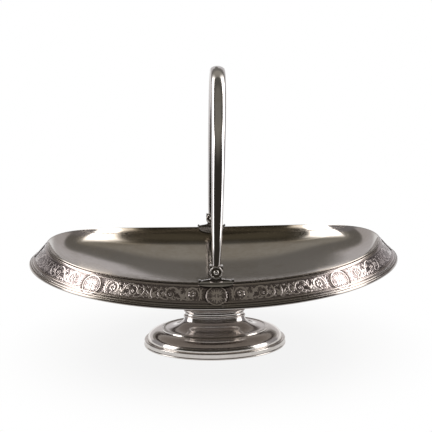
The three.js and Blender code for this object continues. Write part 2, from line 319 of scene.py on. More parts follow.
def makeSilver(name, changes=None, section=None):
    # polished old silver: warm tarnish in patches, hairline wear and a hammered waviness
    look = {**silverLook, **(changes or {})}
    material = bpy.data.materials.new(name)
    sheet = ShaderSheet(material)
    place = sheet.onPiece()
    patches = sheet.noise(place, look["patchScale"], 5, 0.6)
    specks = sheet.noise(place, look["patchScale"] * look["speckScale"], 4, 0.65)
    mottled = patches * (1 - look["speckShare"]) + specks * look["speckShare"]
    tarnish = sheet.band(mottled, *look["patchEdge"]) * look["patchShare"]
    colour = sheet.mixColour(tarnish, look["clean"], look["tarnish"])
    roughness = tarnish * look["patchRoughness"] + specks * look["speckRoughness"]
    roughness = roughness + look["roughness"] - look["speckRoughness"] / 2
    stretched = sheet.add("ShaderNodeMapping", {}, {
        "Vector": place, "Rotation": (0, 0, look["scratchTurn"]), "Scale": (look["scratchStretch"], 1, 1)})
    scratches = sheet.noise(stretched, look["scratchScale"], 2, 0.5)
    waves = sheet.noise(place, look["waveScale"], 1.5, 0.4)
    height = waves * look["waveHeight"] + scratches * look["scratchHeight"]
    if section:
        colour, roughness, height = section(sheet, colour, roughness, height)
    normal = sheet.add("ShaderNodeBump", {}, {"Strength": 1.0, "Distance": 1.0, "Height": height})
    shader = sheet.add("ShaderNodeBsdfPrincipled", {}, {"Base Color": colour, "Roughness": roughness,
                                                       "Metallic": 1.0, "Normal": normal})
    sheet.add("ShaderNodeOutputMaterial", {}, {"Surface": shader})
    return material


engraving = {
    "ground": (0.175, 0.145, 0.145),
    "groundLevel": (-0.3, -0.26),  # millimetres off the border's face, as all levels here
    "groundShade": (0.5, 0.6),
    "groundRoughness": 0.05,
    # painted shade deep in the sunk grooves and over the border's back, also the colour of the chased cuts
    "grooveShade": (0.065, 0.053, 0.048),
    "deepShadeLevel": (-0.43, -0.37),
    "grainScale": 2400,
    "grainHeight": 0.01 * mm,
    "lineScale": 170,
    "lineWander": 11,
    "lineWidth": (0.1, 0.55),
    "lineShare": 0.7,
    "lineHeight": 0.035 * mm,
}


def engravedSection(sheet, colour, roughness, height):
    # chased ground between the raised strokes, with painted shade in its sunk grooves, at the feet of the
    # strokes and over the border's back; the chased cuts take the same dark colour
    form = engraving
    level = sheet.part(sheet.inSection(), 1)
    place = sheet.onPiece()
    ground = 1 - sheet.band(level, *form["groundLevel"])
    # painted shade where the section lies deep: sunk grooves, the feet of the strokes, the border's back
    grooveShade = 1 - sheet.band(level, *form["deepShadeLevel"])
    grains = sheet.noise(place, form["grainScale"], 3, 0.6)
    lines = sheet.add("ShaderNodeTexWave", {"bands_direction": "DIAGONAL"},
                      {"Vector": place, "Scale": form["lineScale"], "Distortion": form["lineWander"],
                       "Detail": 1, "Detail Scale": 1.3}, out=1)
    share, least = form["groundShade"]
    colour = sheet.mixColour(ground * (grains * share + least).atMost(1), colour, form["ground"])
    cuts = ground * (1 - sheet.band(lines, *form["lineWidth"])) * form["lineShare"]
    colour = sheet.mixColour(cuts.atLeast(grooveShade), colour, form["grooveShade"])
    roughness = roughness + ground * form["groundRoughness"]
    height = height + ground * (lines * form["lineHeight"] + grains * form["grainHeight"])
    return colour, roughness, height


dishShade = {
    # painted shade under the lip along the long sides
    "underLipShade": (0.21, 0.175, 0.13),
    "underLipFrom": (0.83, 0.91),  # shares of the way out
    "alongSides": (66 * mm, 106 * mm),  # where it fades towards the ends
    "unevenScale": 30,
    "uneven": 0.06,
    "underLipRoughness": 0.04,
    # painted shade beneath the dish
    "underside": (0.24, 0.21, 0.19),
    "undersideLevel": (-0.75, -0.55),  # millimetres off the inner face
    "undersideRoughness": 0.1,
}


def dishSection(sheet, colour, roughness, height):
    # painted shade: darker under the lip along both long sides, fading towards the ends, and beneath the
    # dish
    form = dishShade
    spot = sheet.inSection()
    share = sheet.part(spot, 0) * mm  # fitToOval keeps it in thousandths
    place = sheet.onPiece()
    across = sheet.part(place, 0)
    uneven = sheet.noise(place, form["unevenScale"], 3, 0.6) * form["uneven"] - form["uneven"] / 2
    sides = 1 - sheet.band((across * across) ** 0.5, *form["alongSides"])
    ring = sheet.band(share + uneven, *form["underLipFrom"]) * sides
    colour = sheet.mixColour(ring, colour, form["underLipShade"])
    under = 1 - sheet.band(sheet.part(spot, 1), *form["undersideLevel"])
    colour = sheet.mixColour(under, colour, form["underside"])
    roughness = roughness + ring * form["underLipRoughness"] + under * form["undersideRoughness"]
    return colour, roughness, height


# painted reflection: the foot lightens low down, where it mirrors the bright floor
footPaintedReflection = {
    "floorReflectionTint": (0.85, 0.81, 0.77),
    "level": (12 * mm, 16 * mm),
    "patchScale": 90,
    "strength": 1.6,
}


def footSection(sheet, colour, roughness, height):
    # painted reflection of the bright floor: lighter in uneven patches from the bulge down
    place = sheet.onPiece()
    low = 1 - sheet.band(sheet.part(place, 2), *footPaintedReflection["level"])
    uneven = sheet.noise(place, footPaintedReflection["patchScale"], 4, 0.65) * footPaintedReflection["strength"]
    colour = sheet.mixColour(low * uneven.atMost(1), colour, footPaintedReflection["floorReflectionTint"])
    return colour, roughness, height


def dress(piece, material, body, slot, *nodes):
    piece.data.materials.clear()
    piece.data.materials.append(material)
    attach(piece, body)
    if nodes:
        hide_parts(*nodes)


# dish: one raised shell with a small upturned lip
dish = {
    "floor": 54 * mm,
    "sheet": 1.2 * mm,
    "curvePower": 2.2,
    "lipHeight": 8 * mm,
    "lipReach": 4.7 * mm,
    "edgeRounding": 0.0016,  # share of the way out that the lip's edge rounds over
    "insideRounding": 0.18,  # shares of the sheet
    "underRounding": 0.14,
    "insideRings": 84,
    "underRings": 44,
    "ringCrowding": 1.8,  # rings lie closer towards the lip
    "steps": 320,
}


def dishPoint(angle, share):
    x, y, z, outX, outY = crestAt(angle)
    wall = (z - dish["lipHeight"] - dish["floor"]) * max(share, 0) ** dish["curvePower"]
    lip = dish["lipHeight"] * exp(-(1 - share) * (x * outX + y * outY) / dish["lipReach"])
    return Vector((x * share, y * share, dish["floor"] + wall + lip))


def offDish(angle, share, distance):
    small = 1e-3
    share = max(share, 2 * small)
    along = dishPoint(angle + small, share) - dishPoint(angle - small, share)
    outward = dishPoint(angle, share + small) - dishPoint(angle, share - small)
    return dishPoint(angle, share) + outward.cross(along).normalized() * distance


def placeOnDish(angle, share, distance):
    if share < 1e-4:
        return Vector((0, 0, dish["floor"] + distance))
    return offDish(angle, share, distance)


def ringShares(count):
    # shares of the way out, up to where the lip's edge rounds over
    shares = [1 - (1 - i / count) ** dish["ringCrowding"] for i in range(count)]
    return [share for share in shares if share < 1 - 2 * dish["edgeRounding"]]


def makeDish():
    rounding, sheet = dish["edgeRounding"], dish["sheet"]
    above, below = dish["insideRounding"], dish["underRounding"]
    inside = [(share, 0) for share in ringShares(dish["insideRings"])]
    under = [(share, -sheet) for share in ringShares(dish["underRings"])]
    edge = arc((1 - rounding, -above * sheet), (rounding, above * sheet), 90, 0, 4)
    edge += arc((1 - rounding, -(1 - below) * sheet), (rounding, below * sheet), 0, -90, 3)
    piece = drawSection("dishShell", inside + edge + under[::-1])
    spinSection(piece, dish["steps"])
    fitToOval(piece, placeOnDish, "section")
    faceOutwards(piece)
    smoothOver(piece, 40)
    return piece


dishShell = makeDish()
print("dish made:", len(dishShell.data.polygons), "faces")

# border: flat strip that turns down and out from the crest, with a sunk field between mouldings
border = {
    "run": 15 * mm,
    "drop": 16 * mm,
    "sheet": 1.2 * mm,
    "fieldTop": 3.8,  # millimetres down the slope, as in the section below
    "fieldBottom": 15.4,
    "fieldDepth": 0.3,
    "steps": 384,
}
slopeLength = hypot(border["run"], border["drop"])
slopeOut, slopeUp = border["run"] / slopeLength, -border["drop"] / slopeLength
ringRadius = 100 * mm  # of the circle that a section is spun round before it is fitted


def placeOnBorder(angle, along, out):
    # along the slope from the crest, and out of its face
    return besideCrest(angle, slopeOut * along - slopeUp * out, slopeUp * along + slopeOut * out)


def placeBorderRing(angle, radius, out):
    return placeOnBorder(angle, radius - ringRadius, out)


def spinBorderRing(name, section):
    points = [(ringRadius + a * mm, b * mm) for a, b in section]
    piece = drawSection(name, points + points[:1])
    spinSection(piece, border["steps"])
    fitToOval(piece, placeBorderRing, "section")
    faceOutwards(piece)
    smoothOver(piece)
    return piece


def makeBorderStrip():
    ground = -border["fieldDepth"]
    top, bottom = border["fieldTop"], border["fieldBottom"]
    back = -border["sheet"] / mm
    section = [(1.8, back), (1.42, -0.42), (1.52, -0.3), (1.9, -0.16), (2.4, -0.06), (3.1, 0)]
    section += [(3.2, -0.14), (3.34, -0.14), (3.42, 0.04), (3.6, 0.05)]
    section += [(top - 0.05, 0), (top + 0.08, ground)]
    section += [(top + (bottom - top) * i / 12, ground) for i in range(1, 12)]
    section += [(bottom - 0.08, ground), (bottom + 0.05, 0), (bottom + 0.16, 0.05), (bottom + 0.34, 0.04)]
    section += [(bottom + 0.42, -0.16), (bottom + 0.58, -0.16)]
    section += arc((16.95, -0.1), (0.8, 0.6), 172, 8, 8)
    section += [(17.9, -0.12), (18.16, -0.12), (18.16, back)]
    return spinBorderRing("borderStrip", section)


def makeEdgeWire():
    # a small reed, then a larger one that ends in a sharp lower edge
    back = -border["sheet"] / mm
    section = [(18.26, back), (18.26, -0.1)]
    section += arc((19.05, -0.05), (0.72, 0.55), 176, 6, 8)
    section += [(19.86, -0.02)]
    section += arc((20.62, 0.1), (0.72, 0.82), 172, 60, 7)
    section += [(21.3, 0.72), (21.62, 0.5), (21.84, 0.3), (21.92, 0.12), (21.88, -0.4), (21.7, back)]
    return spinBorderRing("edgeWire", section)


borderStrip = makeBorderStrip()
edgeWire = makeEdgeWire()
print("border made:", len(borderStrip.data.polygons) + len(edgeWire.data.polygons), "faces")

# carving: scrolls in low relief between eight medallions, drawn flat and then laid on the border
carving = {
    "fieldMiddle": 9.6,  # millimetres down the slope, as all places below
    "medallionMiddle": 11.15,
    "medallionRadius": 9.25,
    "medallionHeight": 1.04,  # for its width
    "nearPanel": 94.2,  # from the medallion under a hinge to the next one
    "drawnFrom": 9.7,
    "drawnHalf": 51,  # half of the panel that the strokes below are drawn for
    "boldness": 1.6,
    "medallionBoldness": 1.4,
    "roundness": 0.2,  # height of a stroke for its half width
    "sunk": 0.04,  # how far its middle lies under the ground
    # where a medallion starts and ends a step up over the mouldings, and how far
    "overMouldings": ((0, 1, 0.4), (15.1, 16.2, 0.35), (19.3, 20.4, 0.42)),
}


def bandTable(steps=2400):
    # the way round the middle of the border, from the front
    angles = [-pi / 2 + 2 * pi * i / steps for i in range(steps + 1)]
    spots = [placeOnBorder(angle, carving["fieldMiddle"] * mm, 0) for angle in angles]
    ways = [0]
    for spot, last in zip(spots[1:], spots):
        ways.append(ways[-1] + (spot - last).length / mm)
    return angles, ways


bandAngles, bandWays = bandTable()
nearPanel, whole = carving["nearPanel"], bandWays[-1]
medallionWays = [0, nearPanel, whole / 4, whole / 2 - nearPanel, whole / 2, whole / 2 + nearPanel,
                 3 * whole / 4, whole - nearPanel, whole]


def bandAngle(way):
    turns, way = divmod(way, bandWays[-1])
    low, high = 0, len(bandWays) - 1
    while high - low > 1:
        middle = (low + high) // 2
        low, high = (middle, high) if bandWays[middle] <= way else (low, middle)
    part = (way - bandWays[low]) / (bandWays[high] - bandWays[low])
    return bandAngles[low] + part * (bandAngles[high] - bandAngles[low]) + turns * 2 * pi


def stroke(points, widths):
    # widths are given at even steps and shared out over the points
    shared = []
    for i in range(len(points)):
        place = i / (len(points) - 1) * (len(widths) - 1)
        low = min(int(place), len(widths) - 2)
        shared.append(widths[low] + (place - low) * (widths[low + 1] - widths[low]))
    return points, shared


def curl(middle, radii, turns, widths, count=9):
    # spiral, angles in degrees from the right, upwards
    points = []
    for i in range(count):
        part = i / (count - 1)
        angle = radians(turns[0] + part * (turns[1] - turns[0]))
        radius = radii[0] + part * (radii[1] - radii[0])
        points.append((middle[0] + radius * cos(angle), middle[1] - radius * sin(angle)))
    return stroke(points, widths)


def leaf(base, way, length, bend, width):
    # one lobe, that leaves its base in a direction and bends on its way
    points, (x, t) = [base], base
    for i in range(4):
        angle = radians(way + bend * (i + 0.5) / 4)
        x, t = x + length / 4 * cos(angle), t - length / 4 * sin(angle)
        points.append((x, t))
    return points, [0.35 * width, 0.8 * width, width, 0.72 * width, 0.12 * width]


def spray(base, way, spread, count, length, width, bend=0):
    # lobes that fan out from one place, the middle one longest
    lobes = []
    for i in range(count):
        side = 2 * i / (count - 1) - 1
        shorter = length * (1 - 0.38 * side * side)
        lobes.append(leaf(base, way + spread * side, shorter, bend + 34 * side, width))
    return lobes


def rosette(middle, radius, petals):
    lobes = []
    for i in range(petals):
        way, eye = 90 + 360 * i / petals, 0.3 * radius
        start = (middle[0] + eye * cos(radians(way)), middle[1] - eye * sin(radians(way)))
        lobes.append(leaf(start, way, 0.72 * radius, 20, 0.27 * radius))
    return lobes + [curl(middle, (0.1, 0.1), (0, 300), (0.3, 0.3), 4)]


def halfPanelStrokes(half):
    # from a medallion's middle at 0 to the middle of the panel
    marks = [stroke([(9.7, 4.4), (11.0, 6.4), (11.5, 9.4), (11.2, 12.4), (10.4, 14.8)], (0.2, 0.42, 0.2))]
    marks += [stroke([(12.9, 4.5), (12.35, 6.6), (12.5, 9.5), (12.35, 12.4), (12.9, 14.8)],
                     (0.34, 0.18, 0.34))]
    marks += spray((11.9, 9.6), 90, 40, 3, 4.6, 0.36) + spray((11.9, 9.6), -90, 40, 3, 4.6, 0.36)
    # rosette in a round scroll
    marks += [curl((18.3, 9.7), (5.15, 4.75), (214, -96), (0.16, 0.5, 0.5, 0.34), 15)]
    marks += [curl((18.3, 9.7), (4.0, 3.7), (-70, 190), (0.3, 0.26, 0.12), 11)]
    marks += rosette((18.3, 9.7), 3.1, 6)
    marks += [leaf((13.5, 5.3), 20, 2.6, -30, 0.32), leaf((13.5, 14.2), -10, 2.6, 35, 0.32)]
    marks += spray((22.9, 6.4), 40, 46, 3, 3.0, 0.36, -20) + spray((21.8, 13.6), -20, 36, 3, 2.8, 0.32, 20)
    # stem that swings up and over to a second scroll
    marks += [stroke([(20.2, 14.4), (23.6, 14.3), (26.8, 12.1), (28.6, 8.6), (31.4, 5.6), (35.2, 4.9),
                      (38.4, 6.6), (39.4, 9.6), (38.0, 12.3), (35.2, 12.9), (33.2, 11.3), (33.4, 9.2),
                      (35.2, 8.5)],
                     (0.3, 0.46, 0.52, 0.5, 0.4, 0.3, 0.2))]
    marks += rosette((35.6, 10.2), 1.5, 5)
    marks += spray((26.4, 12.4), 128, 40, 5, 5.6, 0.44, 30) + spray((25.6, 13.6), -8, 30, 3, 5.0, 0.42, 46)
    marks += spray((29.4, 7.5), 6, 46, 5, 3.9, 0.4, -40) + spray((29.0, 7.9), 140, 34, 3, 3.8, 0.38, 30)
    marks += spray((31.0, 13.9), 60, 50, 3, 3.4, 0.36, -30) + [leaf((30.2, 14.6), 4, 6.4, 12, 0.42)]
    marks += spray((38.8, 6.9), 58, 40, 3, 2.6, 0.34, -40)
    # acanthus clump beside the middle
    marks += spray((39.9, 10.6), 8, 52, 5, 4.4, 0.46, 30)
    marks += [stroke([(36.4, 14.4), (39.8, 14.6), (43.0, 13.4), (45.0, 10.6), (44.7, 7.6), (42.8, 6.5),
                      (41.6, 7.8)], (0.2, 0.5, 0.55, 0.4, 0.2))]
    marks += spray((43.2, 13.0), 20, 44, 3, 3.6, 0.42, 40) + spray((44.9, 8.2), 64, 46, 3, 3.2, 0.38, -30)
    # half of the palmette
    for way, length in ((66, 7.6), (43, 6.1), (20, 4.4)):
        marks.append(leaf((half - 0.3, 13.4), 180 - way, length, 34, 0.52))
    marks += [curl((half - 2.7, 12.9), (1.75, 0.9), (-40, 250), (0.42, 0.36, 0.2), 9)]
    marks += [leaf((half - 0.9, 5.0), 196, 3.2, 40, 0.36)]
    # short leaves that fill in along both edges
    for i in range(9):
        x = 14.5 + 4.05 * i
        marks.append(leaf((x, 4.7), -28 - 5 * (i % 3), 3.0, -46, 0.36))
        marks.append(leaf((x + 1.9, 14.7), 34 + 6 * (i % 2), 2.9, 52, 0.38))
    return marks


def middleStrokes(half):
    foot = stroke([(half - 1.5, 14.6), (half, 14.9), (half + 1.5, 14.6)], (0.2, 0.4, 0.2))
    return [leaf((half, 13.8), 90, 9.2, 0, 0.6), foot]


def medallionStrokes():
    middle = carving["medallionMiddle"]
    stem = [(-0.25, middle + 6.3), (0.3, middle + 3), (-0.15, middle), (0.3, middle - 3), (0, middle - 6.2)]
    marks = [stroke(stem, (0.42, 0.62, 0.5, 0.42, 0.14))]
    for side in (-1, 1):
        marks += [stroke([(side * 0.5, middle), (side * 3, middle - 0.25), (side * 6, middle)],
                         (0.3, 0.22, 0.12))]
        for up in (-1, 1):
            way = 90 - side * 90 + side * up * 46
            base = (side * 0.9, middle - up * 0.9)
            marks += spray(base, way, 42, 5, 5.6, 0.46, side * up * 16)
            marks += [leaf((side * 5.4, middle - up), way + side * up * 30, 2.6, side * up * 40, 0.34)]
    return marks


def carve(name, marks, boldness):
    # strokes become flattened rods in a flat strip, their lower halves sunk in the ground
    deselectAll()
    lines = bpy.data.curves.new(name, "CURVE")
    lines.dimensions = "3D"
    lines.twist_mode = "Z_UP"
    lines.bevel_depth = mm
    lines.bevel_resolution = 1
    lines.resolution_u = 3
    lines.use_fill_caps = True
    for points, widths in marks:
        line = lines.splines.new("BEZIER")
        line.bezier_points.add(len(points) - 1)
        for knot, (x, t), width in zip(line.bezier_points, points, widths):
            knot.co = (x * mm, -t * mm, 0)
            knot.radius = width * boldness
            knot.handle_left_type = knot.handle_right_type = "AUTO"
    takeUp(addObject(name, lines))
    bpy.ops.object.convert(target="MESH")
    piece = bpy.context.object
    piece.data.transform(Matrix.Diagonal((1, 1, carving["roundness"], 1)))
    return piece


def stretched(marks, half):
    # the strokes are drawn for one length of panel, and fitted to the others
    start, drawn = carving["drawnFrom"], carving["drawnHalf"]
    return [([(start + (x - start) * (half - start) / (drawn - start), t) for x, t in points], widths)
            for points, widths in marks]


def soft(value, low, high):
    share = min(max((value - low) / (high - low), 0), 1)
    return share * share * (3 - 2 * share)


def layOnBorder(piece, way, rise, steps=()):
    # the note of its place in the section is the one that fitToOval keeps, before any step up
    kept = piece.data.attributes.new("section", "FLOAT_VECTOR", "POINT")
    for vertex, note in zip(piece.data.vertices, kept.data):
        x, t, height = vertex.co.x / mm, -vertex.co.y / mm, vertex.co.z / mm + rise
        note.vector = (ringRadius / mm + t, height, 0)
        height += sum(more * soft(t, low, high) for low, high, more in steps)
        vertex.co = placeOnBorder(bandAngle(way + x), t * mm, height * mm)
    faceOutwards(piece)
    smoothOver(piece, 34)


def makeScrollPanels():
    drawn, panels, middle = {}, [], carving["drawnHalf"]
    for number, (first, last) in enumerate(zip(medallionWays, medallionWays[1:])):
        half = (last - first) / 2
        if round(half) not in drawn:
            marks = stretched(halfPanelStrokes(middle), half)
            mirrored = [([(2 * half - x, t) for x, t in points], widths) for points, widths in marks]
            marks += mirrored + stretched(middleStrokes(middle), half)
            drawn[round(half)] = carve("scrolls", marks, carving["boldness"])
        panel = copyOf(drawn[round(half)], f"scrolls{number + 1}")
        layOnBorder(panel, first, -border["fieldDepth"] - carving["sunk"])
        panels.append(panel)
    for pattern in drawn.values():
        bpy.data.objects.remove(pattern)
    return panels


def makeMedallions():
    # a disc with a sunk ring on each side of a bead, and its leaves joined on
    radius, ground, back = carving["medallionRadius"], -border["fieldDepth"], -1.1
    section = [(radius * i / 12, ground) for i in range(9)] + [(6.35, ground), (6.42, -0.44), (6.72, -0.44)]
    section += arc((7.2, -0.32), (0.44, 0.11), 180, 0, 8) + [(7.68, -0.46), (8.92, -0.46), (9.0, ground)]
    section += [(radius, ground), (radius, back), (0, back)]
    disc = drawSection("medallion", inMm(section))
    spinSection(disc, 72)
    disc.data.transform(Matrix.Translation((0, -carving["medallionMiddle"] * mm, 0)) @ Matrix.Diagonal(
        (1, carving["medallionHeight"], 1, 1)))
    relief = carve("medallionRelief", medallionStrokes(), carving["medallionBoldness"])
    relief.data.transform(Matrix.Translation((0, 0, (ground - carving["sunk"]) * mm)))
    takeUp(disc)
    relief.select_set(True)
    bpy.ops.object.join()
    discs = []
    for number, way in enumerate(medallionWays[:-1]):
        discs.append(copyOf(disc, f"medallion{number + 1}"))
        layOnBorder(discs[-1], way, 0, carving["overMouldings"])
    bpy.data.objects.remove(disc)
    return discs


scrollPanels = makeScrollPanels()
medallions = makeMedallions()
print("carving made:", sum(len(piece.data.polygons) for piece in scrollPanels + medallions), "faces,",
      "band", round(whole, 1), "mm")

# foot: hollow pedestal with a reeded neck, a flared shoulder, a step and a bulge over a base wire
foot = {
    "halfLength": 59.3 * mm,
    "halfWidth": 46.2 * mm,
    "sheet": 1.4 * mm,
    "collarBottom": 49.9 * mm,
    "collarHeight": 2.6 * mm,
    "collarInset": 27 * mm,
    "collarWidth": 4.2 * mm,
    "seam": 0.12 * mm,
    "steps": 224,
}


def placeOnFoot(angle, radius, height):
    # radius is measured in from the edge of the base, from a circle of half the foot's length
    inset = foot["halfLength"] - radius
    halfWidth = foot["halfWidth"] - inset
    return Vector(((foot["halfLength"] - inset) * cos(angle), halfWidth * sin(angle), height))


def spinFootRing(name, section, close=True):
    points = [(foot["halfLength"] - inset * mm, height * mm) for inset, height in section]
    piece = drawSection(name, points + points[:1] if close else points)
    spinSection(piece, foot["steps"])
    fitToOval(piece, placeOnFoot)
    faceOutwards(piece, None if close else (0, 0, foot["collarBottom"] / 2))
    smoothOver(piece)
    return piece


def footOutline():
    points = arc((15, 5.5), (12, 7.9), 180, 90, 18)
    points += [(15.15, 13.9), (15.25, 14.45), (15.5, 14.7), (16.3, 14.7), (16.55, 14.5), (16.7, 14.3)]
    points += [(17 + 17 * sin(radians(t)), 14.2 + 9.3 * (1 - cos(radians(t)))) for t in range(4, 76, 5)]
    points += [(33.75, 22.4), (34, 23.1)]
    points += arc((34.45, 24.4), (0.85, 0.95), 250, 110, 7)
    points += [(34.75, 25.75), (34.95, 26.4), (34.98, 27.2), (34.7, 27.9)]
    points += arc((34.4, 29), (0.75, 0.85), 240, 120, 6)
    points += [(34.8, 30.3), (35.2, 31.2)]
    points += [(35.2 - 7.9 * (1 - cos(radians(t))), 31.2 + 17 * sin(radians(t))) for t in range(10, 91, 8)]
    points += [(27.2, 48.3), (27.12, 48.45), (27.1, 48.7), (27.1, 49.75)]
    return points


def makeFootBody():
    piece = spinFootRing("footBody", footOutline(), close=False)
    applyModifier(piece, "SOLIDIFY", {"thickness": foot["sheet"], "offset": -1, "use_even_offset": True})
    smoothOver(piece)
    return piece


def makeFootCollar():
    low, high = foot["collarBottom"] / mm + 0.1, (foot["collarBottom"] + foot["collarHeight"]) / mm + 0.2
    outer, inner = foot["collarInset"] / mm, (foot["collarInset"] + foot["collarWidth"]) / mm
    section = [(inner, low), (inner, high), (outer + 0.7, high)]
    section += arc((outer + 0.45, high - 1.3), (0.6, 1.2), 100, 260, 8)
    piece = spinFootRing("footCollar", section)
    # its upper side follows the underside of the dish
    for vertex in piece.data.vertices:
        x, y, z = vertex.co
        angle = atan2(y / crest["halfWidth"], x / crest["halfLength"])
        crestX, crestY = crestAt(angle)[:2]
        under = offDish(angle, hypot(x, y) / hypot(crestX, crestY), -dish["sheet"]).z - foot["seam"]
        share = (z - low * mm) / (high * mm - low * mm)
        vertex.co.z = low * mm + share * (under - low * mm)
    return piece


def makeBaseWire():
    section = [(4.4, 0.002), (4.4, 5.2), (1.5, 5.2)]
    section += arc((1.15, 4.65), (0.8, 0.55), 90, 225, 6)
    section += [(0.72, 3.9), (0.66, 3.1), (0.66, 2.3), (0.62, 1.7)]
    section += arc((0.75, 0.85), (0.75, 0.7), 120, 200, 5)
    section += [(0.25, 0.15), (0.6, 0.002)]
    return spinFootRing("baseWire", section)


footBody = makeFootBody()
footCollar = makeFootCollar()
baseWire = makeBaseWire()
print("foot made:", len(footBody.data.polygons), "faces")

# handle: hollow bow, oval in section, that thins towards both ends
handle = {
    "rise": 139.99 * mm,
    "start": 4.9 * mm,  # of the tube above the pin
    "fullness": 2.06,
    "endWidth": 6 * mm,
    "midWidth": 12 * mm,
    "swellPower": 0.8,
    "lean": radians(2.1),  # towards +X, about the pins
    "endDepth": 6 * mm,
    "midDepth": 6.6 * mm,
    "wall": 1 * mm,
    "sides": 56,
    "steps": 176,
    "spunRing": 100 * mm,  # of the ring that the tube is before it is fitted
    "spunRadius": 10 * mm,
}


def bowPoint(angle):
    power = 2 / handle["fullness"]
    c, s = cos(angle), max(sin(angle), 0)
    across = -pinReach * (1 if c > 0 else -1) * abs(c) ** power
    up = handle["start"] + (handle["rise"] - handle["start"]) * s ** power
    return Vector((0, across, pinHeight + up))


def bowTable(steps=600):
    # the share of the bow's length that is behind each of many angles
    angles = [pi * i / steps for i in range(steps + 1)]
    lengths = [0]
    for angle, last in zip(angles[1:], angles):
        lengths.append(lengths[-1] + (bowPoint(angle) - bowPoint(last)).length)
    return angles, [length / lengths[-1] for length in lengths]


bowAngles, bowShares = bowTable()


def bowAngleAt(share):
    for i in range(1, len(bowShares)):
        if bowShares[i] >= share:
            part = (share - bowShares[i - 1]) / (bowShares[i] - bowShares[i - 1])
            return bowAngles[i - 1] + part * (bowAngles[i] - bowAngles[i - 1])
    return pi


def leanOver(piece):
    pins = Matrix.Translation((0, 0, pinHeight))
    piece.data.transform(pins @ Matrix.Rotation(handle["lean"], 4, "Y") @ pins.inverted())


def bowStation(place):
    # middle, depthwise direction and half sizes of the tube, at a share of its length
    angle, small = bowAngleAt(place), 1e-3
    if 0 < place < 1:
        run = (bowPoint(min(angle + small, pi)) - bowPoint(max(angle - small, 0))).normalized()
    else:
        run = Vector((0, 0, 1 if place == 0 else -1))
    swell = max(sin(pi * place), 0) ** handle["swellPower"]
    width = handle["endWidth"] + swell * (handle["midWidth"] - handle["endWidth"])
    depth = handle["endDepth"] + swell * (handle["midDepth"] - handle["endDepth"])
    return bowPoint(angle), Vector((0, -run.z, run.y)), width / 2, depth / 2


def makeHandleTube():
    # a circle spun half round, then fitted to the bow
    deselectAll()
    ring, radius = handle["spunRing"], handle["spunRadius"]
    bpy.ops.mesh.primitive_circle_add(vertices=handle["sides"], radius=radius, location=(0, -ring, 0))
    piece = bpy.context.object
    piece.name = "handleTube"
    bpy.ops.object.transform_apply(location=True, rotation=True, scale=True)
    spinSection(piece, handle["steps"], axis=(1, 0, 0), turn=pi)
    stations = [bowStation(step / handle["steps"]) for step in range(handle["steps"] + 1)]
    for vertex in piece.data.vertices:
        x, y, z = vertex.co
        # the far end's height may round to just under 0, where the angle would come back negative
        step = round(abs(atan2(z, -y)) / pi * handle["steps"])
        centre, deep, halfWidth, halfDepth = stations[step]
        u, v = x / radius, (hypot(y, z) - ring) / radius
        vertex.co = centre + Vector((u * halfWidth, 0, 0)) + deep * (v * halfDepth)
    faceOutwards(piece, (0, 0, pinHeight))
    applyModifier(piece, "SOLIDIFY", {"thickness": handle["wall"], "offset": -1})
    smoothOver(piece, 40)
    return piece


handleTube = makeHandleTube()
print("handle made:", len(handleTube.data.polygons), "faces")

# hinge: a fork of two round cheeks over the ear of a saddle bracket, with a rivet through them
hinge = {
    "cheekRadius": 4.75 * mm,
    "forkHalf": 3.0 * mm,
    "slotHalf": 1.4 * mm,
    "slotDepth": 10 * mm,
    "slotClearance": 0.3 * mm,  # over the ear
    "shoulder": 4.6 * mm,
    "recessRadius": 3.8 * mm,
    "recessDepth": 0.5 * mm,
    "recessCutter": 4 * mm,
    "rimRounding": 0.3 * mm,
    "beadRadius": 4.16 * mm,
    "beadHalf": 0.56 * mm,
    "beadSunk": 0.2 * mm,
    "earHalf": 1.1 * mm,
    "earRadius": 3.6 * mm,
    "earRounding": 0.2 * mm,
    "bore": 1.6 * mm,
    "pinRadius": 1.3 * mm,
    "headRadius": 1.95 * mm,
    "headHeight": 1.1 * mm,
    "headStart": 2.8 * mm,
    "tenon": 9 * mm,
    "tenonRadius": 1.7 * mm,
    "tenonOverlap": 0.3 * mm,
}


def toFrontHinge(piece):
    piece.data.transform(Matrix.Translation((0, -pinReach, pinHeight)))
    return piece


def makeTerminal():
    form = hinge
    piece = addCylinder(form["cheekRadius"], 2 * form["forkHalf"], (0, 0, 0), 88)
    piece.name = "forkFront"
    # cut level with the pin, then raised square to the shoulder
    editAll(piece)
    bpy.ops.mesh.bisect(plane_co=(0, 0, 0), plane_no=(0, 0, 1), clear_outer=True, use_fill=True)
    bpy.ops.mesh.extrude_region_move(TRANSFORM_OT_translate={"value": (0, 0, form["shoulder"])})
    faceOutwards(piece)
    slotTop = form["earRadius"] + form["slotClearance"]
    slot = addBox((4 * form["cheekRadius"], 2 * form["slotHalf"], form["slotDepth"]),
                  (0, 0, slotTop - form["slotDepth"] / 2))
    joinShape(piece, slot, "DIFFERENCE")
    joinShape(piece, addCylinder(form["bore"], 4 * form["forkHalf"], (0, 0, 0), 48), "DIFFERENCE")
    for side in (-1, 1):
        face = side * (form["forkHalf"] - form["recessDepth"] + form["recessCutter"] / 2)
        recess = addCylinder(form["recessRadius"], form["recessCutter"], (0, face, 0), 72)
        joinShape(piece, recess, "DIFFERENCE")
    roundEdges(piece, form["rimRounding"], 3, 40)
    tenonMiddle = form["shoulder"] + form["tenon"] / 2 - form["tenonOverlap"]
    tenon = addCylinder(form["tenonRadius"], form["tenon"], (0, 0, tenonMiddle), 32, False)
    joinShape(piece, tenon, "UNION")
    # a bead round the sunk face of each cheek
    for side in (-1, 1):
        deselectAll()
        bpy.ops.mesh.primitive_torus_add(major_segments=88, minor_segments=16, rotation=(pi / 2, 0, 0),
                                         major_radius=form["beadRadius"], minor_radius=form["beadHalf"],
                                         location=(0, side * (form["forkHalf"] - form["beadSunk"]), 0))
        bpy.ops.object.transform_apply(location=True, rotation=True, scale=True)
        joinShape(piece, bpy.context.object, "UNION")
    smoothOver(toFrontHinge(piece), 30)
    return piece


